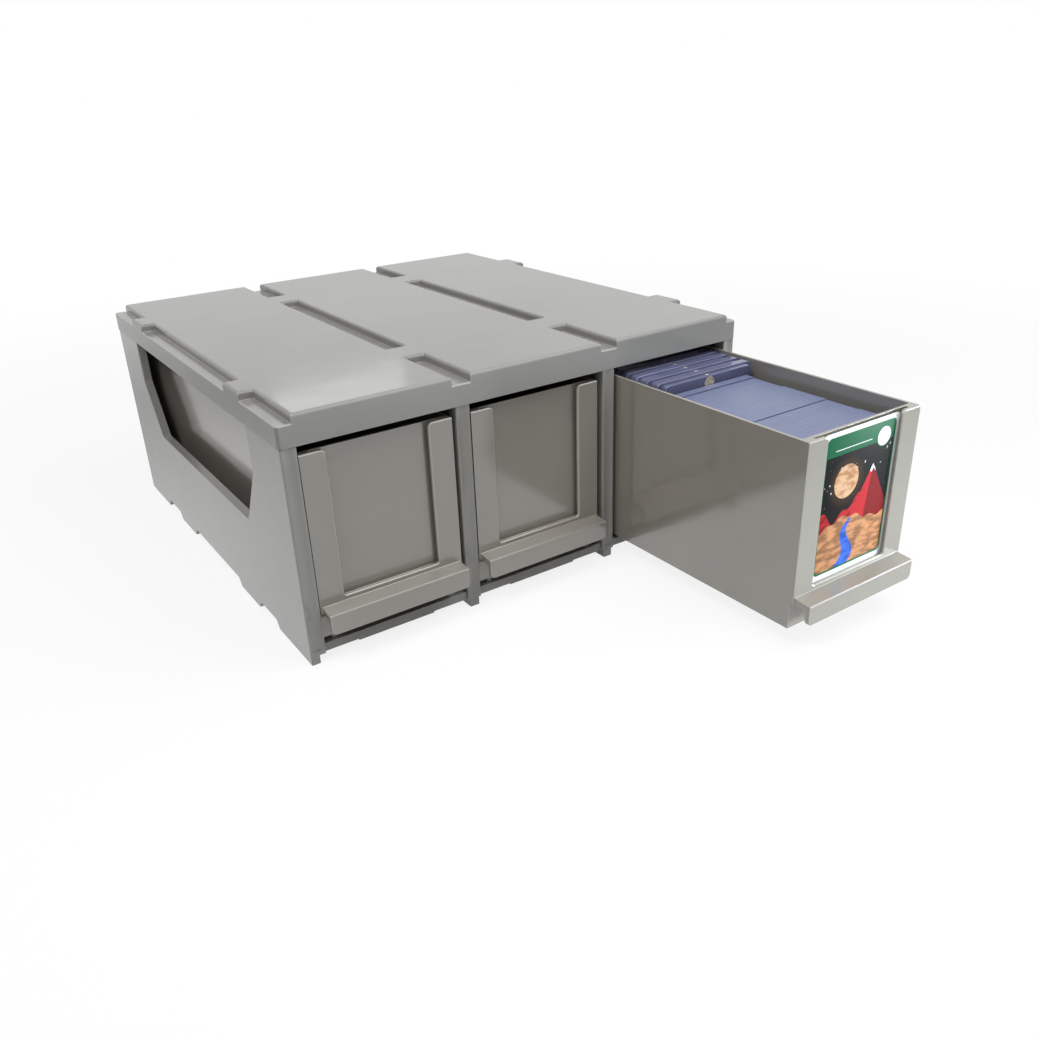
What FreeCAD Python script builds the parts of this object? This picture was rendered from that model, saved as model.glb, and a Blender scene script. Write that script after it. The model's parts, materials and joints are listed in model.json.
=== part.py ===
# Card storage box: a moulded cabinet with three drawers side by side under a lid that other
# units stack on.  Drawer 3 stands open and holds boxed and sleeved cards.
#
# Frame: X to the right, Y to the back, Z up, in millimetres.  The origin lies on the surface
# that the feet stand on, below the middle of the whole, open drawer included.  A depth is
# counted from the lid's front.
import FreeCAD, Part
import math
import os
import re
import Sketcher

doc = FreeCAD.newDocument("card_drawer_box")

# ---------------------------------------------------------------- driving dimensions
SIZES = [
    # alias, millimetres, what it is
    ("lid_depth", 330.0, "lid, front to back"),
    ("lid_overhang", 0.5, "lid past the walls, all round"),
    ("lid_corner", 2.0, "radius of the lid's upright corners"),
    ("lid_wall", 2.6, "thickness of the lid's top"),
    ("skirt_height", 12.7, "skirt below the channel floors"),
    ("skirt_wall", 2.5, "thickness of the skirt"),
    ("seam_gap", 0.3, "skirt above the walls' shoulder, and rim off the skirt"),
    ("rim_wall", 2.0, "rim that stands inside the skirt"),
    ("channel_depth", 5.0, "stacking channels in the lid"),
    ("overcut", 1.0, "cuts that run past an open end"),
    ("channel_width", 12.3, "channel between two plateaus"),
    ("edge_channel", 8.6, "open channel along the lid's side"),
    ("tab_start", 54.0, "lid's edge to the bridge across a channel"),
    ("tab_length", 24.5, "length of a bridge"),
    ("tab_play", 0.5, "play between a bridge and the foot notch over it"),
    ("plateau_round", 2.0, "radius round the plateaus' tops"),
    ("stack_gap", 0.3, "feet longer than the channels are deep"),
    ("foot_slope", 4.0, "slanted end of a foot"),
    ("inner_foot", 33.0, "length of a foot behind a notch"),
    ("foot_width", 6.2, "feet under the dividers"),
    ("side_foot", 5.2, "foot under a side post"),
    ("base_wall", 2.4, "thickness of the base plate"),
    ("rail_height", 5.2, "base rail at the front"),
    ("rail_setback", 2.2, "base rail behind the lid's front"),
    ("rail_lip", 0.9, "lip below the middle of the rail"),
    ("lip_width", 50.4, "width of that lip"),
    ("runner_height", 2.8, "ribs that a drawer runs on"),
    ("runner_width", 3.0, "width of a runner"),
    ("runner_inset", 7.0, "runner in from the drawer's side"),
    ("run_gap", 0.3, "drawer above its runners"),
    ("head_gap", 5.7, "drawer's top below the skirt"),
    ("post_width", 9.3, "posts between the drawers"),
    ("post_depth", 8.0, "posts, front to back"),
    ("post_gap", 2.4, "middle post to drawer"),
    ("post_play", 0.3, "play round a post in the base"),
    ("side_post", 9.1, "posts at the sides"),
    ("side_gap", 0.7, "side post to drawer"),
    ("flute_radius", 8.0, "hollow down the front of a post"),
    ("flute_depth", 0.7, "depth of that hollow"),
    ("side_frame", 7.2, "side panel, flanges included"),
    ("side_wall", 2.4, "side panel's skin and flanges"),
    ("side_border", 6.0, "plain border round the hollow inside"),
    ("window_inset", 51.0, "lid's edge to the window"),
    ("window_run", 24.0, "length of the window's slanted end"),
    ("window_shoulder", 102.0, "height of the slanted end's top"),
    ("sill_height", 64.5, "height of the window's sill"),
    ("window_round", 3.0, "radius of the sill's corners"),
    ("divider_wall", 2.4, "web between two bays"),
    ("back_wall", 2.4, "back panel"),
    ("drawer_width", 92.4, "drawer, outside"),
    ("drawer_height", 112.0, "drawer, outside"),
    ("drawer_setback", 1.3, "closed drawer behind the lid's front"),
    ("drawer_wall", 1.8, "drawer's walls and floor"),
    ("back_gap", 3.0, "closed drawer to the back panel"),
    ("tub_round", 1.5, "radius of the drawer's upright corners"),
    ("frame_wall", 2.2, "card frame's rails, front to back"),
    ("frame_opening", 61.6, "width between the rails"),
    ("frame_bottom", 23.3, "drawer's underside to the frame's lower edge"),
    ("frame_round", 3.0, "radius at the top of the rails"),
    ("frame_foot_round", 1.5, "radius in the frame's lower corners"),
    ("slot_width", 77.0, "card slot behind the rails"),
    ("slot_gap", 2.2, "card slot, front to back"),
    ("slot_sink", 1.2, "slot's floor below the frame's lower edge"),
    ("handle_width", 90.0, "pull handle"),
    ("handle_reach", 10.6, "handle in front of the rails"),
    ("handle_top", 20.4, "drawer's underside to the handle's top"),
    ("handle_fall", 1.0, "how far the handle's top falls to the front"),
    ("handle_plate", 4.2, "thickness of the handle's top"),
    ("handle_low", 7.0, "drawer's underside to the handle's lip"),
    ("handle_lip", 2.9, "thickness of the lip"),
    ("handle_round", 3.0, "radius of the lip's lower corners"),
    ("groove_round", 3.4, "radius inside the finger groove"),
    ("edge_round", 0.7, "small radius of outer edges"),
    ("edge_bevel", 0.5, "small bevel of outer edges"),
    ("drawer_2_shift", 1.4, "drawer 2 to the left of its bay's middle"),
    ("drawer_3_open", 152.6, "how far drawer 3 stands open"),
    ("card_width", 63.5, "label card"),
    ("card_height", 88.9, "label card"),
    ("card_round", 3.0, "label card's corners"),
    ("card_thick", 0.6, "label card"),
    ("card_play", 0.1, "label card off the backs of the rails"),
    ("stack_width", 76.2, "rigid sleeves"),
    ("stack_height", 101.6, "rigid sleeves"),
    ("stack_round", 2.0, "rigid sleeves' corners"),
    ("sleeve_pitch", 3.0, "one rigid sleeve"),
    ("slit_width", 0.4, "gap between two sleeves' edges"),
    ("slit_depth", 0.8, "depth of that gap"),
    ("stack_1", 25.5, "first group of sleeves, front to back"),
    ("stack_2", 23.0, "second group"),
    ("stack_3", 33.0, "third group"),
    ("stack_4", 24.0, "fourth group"),
    ("stack_5", 5.9, "fifth group"),
    ("pack_gap", 0.5, "between groups and holders"),
    ("holder_width", 81.0, "magnetic holder"),
    ("holder_height", 109.0, "magnetic holder"),
    ("holder_round", 3.0, "magnetic holder's corners"),
    ("holder_back", 5.2, "holder's back half, front to back"),
    ("holder_cover", 4.0, "holder's cover, front to back"),
    ("holder_shift", 3.5, "holders to the right of the drawer's middle"),
    ("cover_inset", 1.2, "cover lower than the back half, top and bottom"),
    ("cover_step", 3.0, "cover narrower than the back half, each side"),
    ("magnet_radius", 4.0, "magnet"),
    ("magnet_depth", 2.0, "magnet, front to back"),
    ("magnet_drop", 4.6, "cover's top to the magnet's centre"),
]

# Sizes that follow from the driving ones.
LAYOUT = {
    "bay_pitch": "drawer_width + 2 * post_gap + post_width",
    "half_width": "bay_pitch + drawer_width / 2 + side_gap + side_post + lid_overhang",
    "front": "(drawer_3_open + handle_reach - drawer_setback - lid_depth) / 2",
    "back": "front + lid_depth",
    "wall_x": "half_width - lid_overhang",
    "wall_front": "front + lid_overhang",
    "wall_back": "back - lid_overhang",
    "foot_height": "channel_depth + stack_gap",
    "floor_top": "foot_height + rail_height",
    "floor_under": "floor_top - base_wall",
    "drawer_z": "floor_top + runner_height + run_gap",
    "skirt_z": "drawer_z + drawer_height + head_gap",
    "wall_top": "skirt_z - seam_gap",
    "ledge_z": "skirt_z + skirt_height",
    "lid_under": "ledge_z - lid_wall",
    "top_z": "ledge_z + channel_depth",
    "inside_x": "wall_x - side_frame",
    "inside_back": "wall_back - back_wall",
    "channel_x": "bay_pitch / 2",
    "drawer_front": "front + drawer_setback",
    "drawer_length": "inside_back - back_gap - drawer_front",
    "panel_y": "frame_wall + slot_gap",
    "inner_y": "panel_y + drawer_wall",
    "window_front": "front + window_inset",
    "window_back": "back - window_inset",
    "holder_thick": "holder_back + holder_cover",
}

sheet = doc.addObject("Spreadsheet::Sheet", "Sizes")
for row, (alias, value, note) in enumerate(SIZES, start=1):
    sheet.set("A%d" % row, note)
    sheet.set("B%d" % row, str(value))
    sheet.setAlias("B%d" % row, alias)
doc.recompute()

DRIVING = {alias for alias, value, note in SIZES}


def bind(text):
    """Turn an expression in plain size names into one that reads the sheet."""
    def word(match):
        name = match.group(0)
        if name in DRIVING:
            return "Sizes." + name
        if name in LAYOUT:
            return "(" + bind(LAYOUT[name]) + ")"
        return name
    return re.sub(r"[A-Za-z_]\w*", word, str(text))


def number(text):
    """The present value of an expression, in millimetres."""
    value = sheet.evalExpression(bind(text))
    return float(getattr(value, "Value", value))


# ---------------------------------------------------------------- sketches and features
def new_body(label):
    body = doc.addObject("PartDesign::Body", label)
    body.Label = label
    return body


def plane_of(body, role):
    return next(item for item in body.Origin.OriginFeatures if item.Role == role)


def new_sketch(body, role, height="0"):
    """A sketch on one of the body's origin planes, moved along that plane's normal."""
    sketch = body.newObject("Sketcher::SketchObject", "Sketch")
    sketch.AttachmentSupport = (plane_of(body, role), [""])
    sketch.MapMode = "FlatFace"
    sketch.setExpression("AttachmentOffset.Base.z", bind(height))
    return sketch


def place(sketch, kind, geometry, vertex, text):
    index = sketch.addConstraint(Sketcher.Constraint(kind, -1, 1, geometry, vertex, number(text)))
    sketch.setExpression("Constraints[%d]" % index, bind(text))


def add_outline(sketch, points):
    """Closed straight-sided outline; every corner is placed by two expressions."""
    corners = [FreeCAD.Vector(number(across), number(up), 0) for across, up in points]
    first = sketch.GeometryCount
    count = len(points)
    for i in range(count):
        sketch.addGeometry(Part.LineSegment(corners[i], corners[(i + 1) % count]), False)
    for i in range(count):
        after = first + (i + 1) % count
        sketch.addConstraint(Sketcher.Constraint("Coincident", first + i, 2, after, 1))
    for i, (across, up) in enumerate(points):
        place(sketch, "DistanceX", first + i, 1, across)
        place(sketch, "DistanceY", first + i, 1, up)


def add_rectangle(sketch, left, right, low, high):
    add_outline(sketch, [(left, low), (right, low), (right, high), (left, high)])


def add_circle(sketch, across, up, radius):
    centre = FreeCAD.Vector(number(across), number(up), 0)
    circle = sketch.addGeometry(Part.Circle(centre, FreeCAD.Vector(0, 0, 1), number(radius)), False)
    index = sketch.addConstraint(Sketcher.Constraint("Radius", circle, number(radius)))
    sketch.setExpression("Constraints[%d]" % index, bind(radius))
    place(sketch, "DistanceX", circle, 3, across)
    place(sketch, "DistanceY", circle, 3, up)


def pad(body, sketch, length):
    """Solid along the sketch's normal: +Z on XY_Plane, -Y on XZ_Plane, +X on YZ_Plane."""
    feature = body.newObject("PartDesign::Pad", "Pad")
    feature.Profile = sketch
    feature.Length = number(length)
    feature.setExpression("Length", bind(length))
    return feature


def pocket(body, sketch, length, forward=True):
    """Cut along the sketch's normal, or against it where forward is False."""
    feature = body.newObject("PartDesign::Pocket", "Pocket")
    feature.Profile = sketch
    feature.Length = number(length)
    feature.setExpression("Length", bind(length))
    feature.Reversed = forward
    doc.recompute()
    removed = feature.BaseFeature.Shape.Volume - feature.Shape.Volume
    assert removed > 0.01, "%s: a pocket cuts nothing" % body.Label
    return feature


def box_pad(body, left, right, fore, aft, low, high):
    sketch = new_sketch(body, "XY_Plane", low)
    add_rectangle(sketch, left, right, fore, aft)
    return pad(body, sketch, "(%s) - (%s)" % (high, low))


def box_pocket(body, left, right, fore, aft, low, high):
    sketch = new_sketch(body, "XY_Plane", low)
    add_rectangle(sketch, left, right, fore, aft)
    return pocket(body, sketch, "(%s) - (%s)" % (high, low))


def dress_edges(body, kind, measure, size, wanted):
    """Work on the edges of the body's last feature for which wanted(middle, direction) holds."""
    doc.recompute()
    base = body.Tip
    names = []
    for count, edge in enumerate(base.Shape.Edges, start=1):
        middle = edge.valueAt((edge.FirstParameter + edge.LastParameter) / 2)
        ends = edge.valueAt(edge.LastParameter) - edge.valueAt(edge.FirstParameter)
        if ends.Length > 1e-6 and wanted(middle, ends / ends.Length):
            names.append("Edge%d" % count)
    assert names, "%s: no edge to work on" % body.Label
    feature = body.newObject("PartDesign::" + kind, kind)
    feature.Base = (base, names)
    setattr(feature, measure, number(size))
    feature.setExpression(measure, bind(size))
    return feature


def round_edges(body, radius, wanted):
    return dress_edges(body, "Fillet", "Radius", radius, wanted)


def bevel_edges(body, size, wanted):
    return dress_edges(body, "Chamfer", "Size", size, wanted)


TOUCH = 0.01  # millimetres within which two positions count as one


def at(value, text):
    return abs(value - number(text)) < TOUCH


def upright(direction):
    return abs(direction.z) > 0.999


def put(body, across="0", along="0", up="0"):
    """Move a finished body from its own frame to its place."""
    for axis, text in (("x", across), ("y", along), ("z", up)):
        body.setExpression("Placement.Base." + axis, bind(text))


# ---------------------------------------------------------------- outlines used twice
NOTCH_NEAR = "tab_start - tab_play"
NOTCH_FAR = "tab_start + tab_length + tab_play"
FOOT_FAR = "(%s) + 2 * foot_slope + inner_foot" % NOTCH_FAR


def underside():
    """The feet along the depth, front to back.  The notches fit over the bridges of a lid below."""
    half = [
        ("lid_overhang", "0"),
        ("(%s) - foot_slope" % NOTCH_NEAR, "0"),
        (NOTCH_NEAR, "foot_height"),
        (NOTCH_FAR, "foot_height"),
        ("(%s) + foot_slope" % NOTCH_FAR, "0"),
        ("(%s) - foot_slope" % FOOT_FAR, "0"),
        (FOOT_FAR, "foot_height"),
    ]
    near_half = [("front + (%s)" % depth, up) for depth, up in half]
    far_half = [("back - (%s)" % depth, up) for depth, up in reversed(half)]
    return near_half + far_half


def window(margin="0"):
    """The side window's lower outline, front to back, grown by a margin."""
    slant = "atan(window_run / (window_shoulder - sill_height))"
    rise = "(%s) * tan((%s) / 2)" % (margin, slant)
    run = "(%s) * tan(45 deg - (%s) / 2)" % (margin, slant)
    return [
        ("window_front - (%s)" % margin, "window_shoulder - (%s)" % rise),
        ("window_front + window_run - (%s)" % run, "sill_height - (%s)" % margin),
        ("window_back - window_run + (%s)" % run, "sill_height - (%s)" % margin),
        ("window_back + (%s)" % margin, "window_shoulder - (%s)" % rise),
    ]


def flute(body, centre, low, high):
    """Shallow hollow down the front face of a post."""
    sketch = new_sketch(body, "XY_Plane", low)
    add_circle(sketch, centre, "wall_front + flute_depth - flute_radius", "flute_radius")
    return pocket(body, sketch, "(%s) - (%s)" % (high, low))


# ---------------------------------------------------------------- cabinet
def make_lid():
    """Skirted top: three plateaus parted by channels, with bridges that key a stacked unit."""
    body = new_body("lid")
    box_pad(body, "0 - half_width", "half_width", "front", "back", "skirt_z", "top_z")
    round_edges(body, "lid_corner", lambda middle, direction: upright(direction))
    channels = new_sketch(body, "XY_Plane", "ledge_z")
    bands = [
        ("0 - half_width - overcut", "edge_channel - half_width"),
        ("0 - channel_x - channel_width / 2", "channel_width / 2 - channel_x"),
        ("channel_x - channel_width / 2", "channel_x + channel_width / 2"),
        ("half_width - edge_channel", "half_width + overcut"),
    ]
    stretches = [
        ("front - overcut", "front + tab_start"),
        ("front + tab_start + tab_length", "back - tab_start - tab_length"),
        ("back - tab_start", "back + overcut"),
    ]
    for left, right in bands:
        for near_end, far_end in stretches:
            add_rectangle(channels, left, right, near_end, far_end)
    pocket(body, channels, "channel_depth + overcut")
    round_edges(body, "plateau_round", lambda middle, direction: at(middle.z, "top_z"))
    box_pocket(body, "skirt_wall - half_width", "half_width - skirt_wall",
               "front + skirt_wall", "back - skirt_wall", "skirt_z", "lid_under")
    hollows = new_sketch(body, "XY_Plane", "lid_under")
    edge = "half_width - edge_channel - lid_wall"
    step = "channel_width / 2 + lid_wall"
    spans = [
        ("0 - (%s)" % edge, "0 - channel_x - (%s)" % step),
        ("(%s) - channel_x" % step, "channel_x - (%s)" % step),
        ("channel_x + %s" % step, edge),
    ]
    for left, right in spans:
        add_rectangle(hollows, left, right, "front + skirt_wall", "back - skirt_wall")
    pocket(body, hollows, "channel_depth")
    bevel_edges(body, "edge_bevel", lambda middle, direction: at(middle.z, "ledge_z")
                and (middle.y < number("front + lid_corner") + TOUCH
                     or middle.y > number("back - lid_corner") - TOUCH
                     or at(abs(middle.x), "half_width")))
    return body


def make_side(label, side):
    """Side panel: skin with flanges round its edges and window, front post, feet and rim."""
    body = new_body(label)
    outer = "%d * wall_x" % side
    low_x = outer if side < 0 else "wall_x - side_frame"
    profile = underside() + [("wall_back", "wall_top"), ("window_back", "wall_top")]
    profile += list(reversed(window())) + [("window_front", "wall_top"), ("wall_front", "wall_top")]
    panel = new_sketch(body, "YZ_Plane", low_x)
    add_outline(panel, profile)
    pad(body, panel, "side_frame")
    round_edges(body, "window_round", lambda middle, direction: abs(direction.x) > 0.999
                and at(middle.z, "sill_height"))
    hollow = new_sketch(body, "YZ_Plane", "%d * (wall_x - side_frame)" % side)
    top = "wall_top - side_wall"
    bottom = "foot_height + side_border"
    flange = window("side_wall")
    ring = [("wall_front + post_depth + side_wall", top), ("wall_front + post_depth + side_wall", bottom),
            ("wall_back - side_border", bottom), ("wall_back - side_border", top),
            ("window_back + side_wall", top)]
    ring += list(reversed(flange)) + [("window_front - side_wall", top)]
    add_outline(hollow, ring)
    pocket(body, hollow, "side_frame - side_wall", forward=side > 0)
    inner = "%d * (wall_x - side_post)" % side
    left, right = (outer, inner) if side < 0 else (inner, outer)
    box_pad(body, left, right, "wall_front", "wall_front + post_depth", "foot_height", "wall_top")
    flute(body, "%d * (wall_x - side_post / 2)" % side, "floor_under", "wall_top")
    foot_in = "%d * (wall_x - side_foot)" % side
    frame_in = "%d * (wall_x - side_frame)" % side
    left, right = (foot_in, frame_in) if side < 0 else (frame_in, foot_in)
    box_pocket(body, left, right, "wall_front", "wall_back", "0", "foot_height")
    rim_out = "%d * (half_width - skirt_wall - seam_gap)" % side
    rim_in = "%d * (half_width - skirt_wall - seam_gap - rim_wall)" % side
    left, right = (rim_out, rim_in) if side < 0 else (rim_in, rim_out)
    rim_near = "front + skirt_wall + seam_gap"
    rim_far = "inside_back"
    box_pad(body, left, right, rim_near, "window_front", "wall_top", "lid_under")
    box_pad(body, left, right, "window_back", rim_far, "wall_top", "lid_under")
    round_edges(body, "edge_round", lambda middle, direction: upright(direction)
                and at(abs(middle.x), "wall_x"))
    return body


def make_base():
    """Base plate between the sides, with front and back rails, runners and the dividers' feet."""
    body = new_body("base_tray")
    rail_front = "front + rail_setback"
    box_pad(body, "0 - inside_x", "inside_x", rail_front, "inside_back", "floor_under", "floor_top")
    box_pad(body, "0 - inside_x", "inside_x", rail_front, rail_front + " + base_wall",
            "foot_height", "floor_under")
    box_pad(body, "0 - inside_x", "inside_x", "inside_back", "wall_back", "foot_height", "floor_under")
    box_pad(body, "0 - inside_x", "inside_x", "inside_back - base_wall", "inside_back",
            "foot_height", "floor_under")
    lips = new_sketch(body, "XY_Plane", "foot_height - rail_lip")
    for bay in (-1, 0, 1):
        centre = "%d * bay_pitch" % bay
        add_rectangle(lips, centre + " - lip_width / 2", centre + " + lip_width / 2",
                      rail_front, rail_front + " + base_wall")
    pad(body, lips, "rail_lip")
    runners = new_sketch(body, "XY_Plane", "floor_top")
    for bay in (-1, 0, 1):
        for side in (-1, 1):
            centre = "%d * bay_pitch + %d * (drawer_width / 2 - runner_inset)" % (bay, side)
            add_rectangle(runners, centre + " - runner_width / 2", centre + " + runner_width / 2",
                          rail_front + " + base_wall", "inside_back - back_gap")
    pad(body, runners, "runner_height")
    for side in (-1, 1):
        centre = "%d * channel_x" % side
        foot = new_sketch(body, "YZ_Plane", centre + " - foot_width / 2")
        add_outline(foot, underside() + [("wall_back", "floor_under"), ("wall_front", "floor_under")])
        pad(body, foot, "foot_width")
        post_left = centre + " - post_width / 2"
        post_right = centre + " + post_width / 2"
        box_pad(body, post_left, post_right, "wall_front", "wall_front + post_depth",
                "foot_height", "floor_under")
        box_pocket(body, post_left + " - post_play", post_right + " + post_play",
                   "front", "wall_front + post_depth + post_play", "floor_under", "floor_top")
    post_face = "wall_x - side_post - post_play"
    for left, right in (("0 - wall_x", "0 - (%s)" % post_face), (post_face, "wall_x")):
        box_pocket(body, left, right, "front", "wall_front + post_depth + post_play",
                   "foot_height", "floor_top")
    return body


def make_divider(label, side):
    """Wall between two bays with a fluted post at its front, from the base to the lid."""
    body = new_body(label)
    centre = "%d * channel_x" % side
    box_pad(body, centre + " - post_width / 2", centre + " + post_width / 2",
            "wall_front", "wall_front + post_depth", "floor_under", "wall_top")
    flute(body, centre, "floor_under", "wall_top")
    web = new_sketch(body, "YZ_Plane", centre + " - divider_wall / 2")
    behind = "wall_front + post_depth"
    past_base = behind + " + post_play"
    add_outline(web, [(behind, "floor_top + post_play"), (past_base, "floor_top + post_play"),
                      (past_base, "floor_top"), ("inside_back", "floor_top"),
                      ("inside_back", "lid_under"), (behind, "lid_under")])
    pad(body, web, "divider_wall")
    round_edges(body, "edge_round", lambda middle, direction: upright(direction)
                and at(middle.y, "wall_front"))
    return body


def make_back():
    """Back panel between the sides, with the rim that stands inside the skirt."""
    body = new_body("back_panel")
    box_pad(body, "0 - inside_x", "inside_x", "inside_back", "wall_back", "floor_under", "wall_top")
    rim_far = "back - skirt_wall - seam_gap"
    box_pad(body, "0 - inside_x", "inside_x", "inside_back", rim_far, "wall_top", "lid_under")
    return body


# ---------------------------------------------------------------- drawers
def make_tub(label):
    """Open-topped drawer behind the card slot.  Own frame: X centred, Y from the card frame's
    front face to the back, Z from the underside."""
    body = new_body(label)
    half = "drawer_width / 2"
    box_pad(body, "0 - " + half, half, "panel_y", "drawer_length", "0", "drawer_height")
    round_edges(body, "tub_round", lambda middle, direction: upright(direction)
                and at(middle.y, "drawer_length"))
    inner = half + " - drawer_wall"
    box_pocket(body, "0 - (%s)" % inner, inner, "inner_y", "drawer_length - drawer_wall",
               "drawer_wall", "drawer_height")
    return body


def make_front(label):
    """Card slot and card frame, both open at the top, with the pull handle below them.  Same own
    frame as the tub."""
    body = new_body(label)
    half = "drawer_width / 2"
    opening = "frame_opening / 2"
    groove_top = "handle_top - handle_plate"
    box_pad(body, "0 - " + half, half, "frame_wall", "panel_y", "0", "drawer_height")
    box_pocket(body, "0 - slot_width / 2", "slot_width / 2", "frame_wall", "panel_y",
               "frame_bottom - slot_sink", "drawer_height")
    frame = new_sketch(body, "XZ_Plane", "0 - frame_wall")
    add_outline(frame, [("0 - " + half, groove_top), (half, groove_top), (half, "drawer_height"),
                        (opening, "drawer_height"), (opening, "frame_bottom"),
                        ("0 - " + opening, "frame_bottom"), ("0 - " + opening, "drawer_height"),
                        ("0 - " + half, "drawer_height")])
    pad(body, frame, "frame_wall")
    round_edges(body, "frame_round", lambda middle, direction: abs(direction.y) > 0.999
                and at(middle.z, "drawer_height") and at(abs(middle.x), opening))
    round_edges(body, "frame_foot_round", lambda middle, direction: abs(direction.y) > 0.999
                and at(middle.z, "frame_bottom") and at(abs(middle.x), opening))
    handle = new_sketch(body, "YZ_Plane", "0 - handle_width / 2")
    reach = "0 - handle_reach"
    lip = "handle_lip - handle_reach"
    add_outline(handle, [("frame_wall / 2", "handle_top"), ("0", "handle_top"),
                         (reach, "handle_top - handle_fall"), (reach, "handle_low"),
                         (lip, "handle_low"), (lip, groove_top), ("frame_wall / 2", groove_top)])
    pad(body, handle, "handle_width")
    round_edges(body, "handle_round", lambda middle, direction: abs(direction.y) > 0.9
                and at(middle.z, "handle_low"))
    round_edges(body, "groove_round", lambda middle, direction: abs(direction.x) > 0.9
                and at(middle.y, lip) and at(middle.z, groove_top))
    round_edges(body, "edge_round", lambda middle, direction: abs(direction.x) > 0.9
                and at(middle.y, reach) and at(middle.z, "handle_top - handle_fall"))
    bevel_edges(body, "edge_bevel", lambda middle, direction: at(middle.y, "0")
                and at(abs(middle.x), opening) and middle.z > number("frame_bottom"))
    return body


def put_in_drawer(body, bay, forward, across="0", along="0", up="0"):
    """Place a piece that is given in a drawer's own frame."""
    put(body, "%d * bay_pitch + (%s)" % (bay, across),
        "drawer_front - (%s) + (%s)" % (forward, along), "drawer_z + (%s)" % up)


def make_drawer(count, bay, forward, across="0"):
    tub = make_tub("drawer_%d_tub" % count)
    front = make_front("drawer_%d_front" % count)
    put_in_drawer(tub, bay, forward, across)
    put_in_drawer(front, bay, forward, across)
    return [tub, front]


# ---------------------------------------------------------------- what drawer 3 holds
def make_slab(label, width, height, thick, corner):
    """Upright slab with rounded corners, X centred, front face at Y 0, standing on Z 0."""
    body = new_body(label)
    sketch = new_sketch(body, "XZ_Plane", "0 - (%s)" % thick)
    add_rectangle(sketch, "0 - (%s) / 2" % width, "(%s) / 2" % width, "0", height)
    pad(body, sketch, thick)
    round_edges(body, corner, lambda middle, direction: abs(direction.y) > 0.999)
    return body


def make_stack(label, thick):
    """Rigid card sleeves side by side, with the slits between their top edges."""
    body = make_slab(label, "stack_width", "stack_height", thick, "stack_round")
    slits = math.floor(number(thick) / number("sleeve_pitch")) - 1
    if slits > 0:
        sketch = new_sketch(body, "YZ_Plane", "stack_round - stack_width / 2")
        add_rectangle(sketch, "sleeve_pitch", "sleeve_pitch + slit_width",
                      "stack_height - slit_depth", "stack_height + slit_depth")
        slit = pocket(body, sketch, "stack_width - 2 * stack_round")
        if slits > 1:
            pattern = body.newObject("PartDesign::LinearPattern", "Slits")
            pattern.Originals = [slit]
            pattern.Direction = (plane_of(body, "Y_Axis"), [""])
            pattern.setExpression("Length", bind("sleeve_pitch * %d" % (slits - 1)))
            pattern.Occurrences = slits
            body.Tip = pattern
    return body


def make_holder(count):
    """Magnetic one-card holder: back half, cover and the magnet that shuts it."""
    back_half = make_slab("holder_%d_back" % count, "holder_width", "holder_height",
                          "holder_back", "holder_round")
    cover = make_slab("holder_%d_cover" % count, "holder_width - 2 * cover_step",
                      "holder_height - 2 * cover_inset", "holder_cover", "holder_round")
    seat = new_sketch(cover, "XZ_Plane", "0")
    middle = "holder_height - 2 * cover_inset - magnet_drop"
    add_circle(seat, "0", middle, "magnet_radius")
    pocket(cover, seat, "magnet_depth", forward=False)
    magnet = new_body("holder_%d_magnet" % count)
    disc = new_sketch(magnet, "XZ_Plane", "0 - magnet_depth")
    add_circle(disc, "0", middle, "magnet_radius")
    pad(magnet, disc, "magnet_depth")
    return back_half, cover, magnet


def fill_drawer():
    """Label card in the frame, then five groups of sleeves and five holders behind it."""
    pieces = []
    card = make_slab("label_card", "card_width", "card_height", "card_thick", "card_round")
    put_in_drawer(card, 1, "drawer_3_open", along="frame_wall + card_play",
                  up="frame_bottom - slot_sink")
    pieces.append(card)
    along = "inner_y + pack_gap"
    for count in range(1, 6):
        thick = "stack_%d" % count
        stack = make_stack("sleeve_stack_%d" % count, thick)
        put_in_drawer(stack, 1, "drawer_3_open", along=along, up="drawer_wall")
        pieces.append(stack)
        along += " + %s + pack_gap" % thick
    for count in range(1, 6):
        back_half, cover, magnet = make_holder(count)
        put_in_drawer(back_half, 1, "drawer_3_open", "holder_shift", along + " + holder_cover",
                      "drawer_wall")
        for piece in (cover, magnet):
            put_in_drawer(piece, 1, "drawer_3_open", "holder_shift", along,
                          "drawer_wall + cover_inset")
        pieces.extend([back_half, cover, magnet])
        along += " + holder_thick + pack_gap"
    return pieces


# ---------------------------------------------------------------- build, check and write
nodes = [make_lid(), make_base(), make_side("left_side", -1), make_side("right_side", 1),
         make_divider("divider_left", -1), make_divider("divider_right", 1), make_back()]
nodes += make_drawer(1, -1, "0")
nodes += make_drawer(2, 0, "0", "0 - drawer_2_shift")
nodes += make_drawer(3, 1, "drawer_3_open")
nodes += fill_drawer()
doc.recompute()

for item in doc.Objects:
    assert not {"Invalid", "Error"} & set(item.State), "%s: %s" % (item.Label, item.State)
for node in nodes:
    assert not node.Shape.isNull() and node.Shape.isValid(), node.Label
    assert len(node.Shape.Solids) == 1, "%s: %d solids" % (node.Label, len(node.Shape.Solids))

os.makedirs("parts", exist_ok=True)
for node in nodes:
    node.Shape.exportStep("parts/%s.step" % node.Label)
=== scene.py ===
"""Card storage box: moulded surfaces, filled drawer, label card and a plain studio."""
import json
import math
from collections import namedtuple

import bmesh
import bpy
from mathutils import Matrix, Vector

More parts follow.
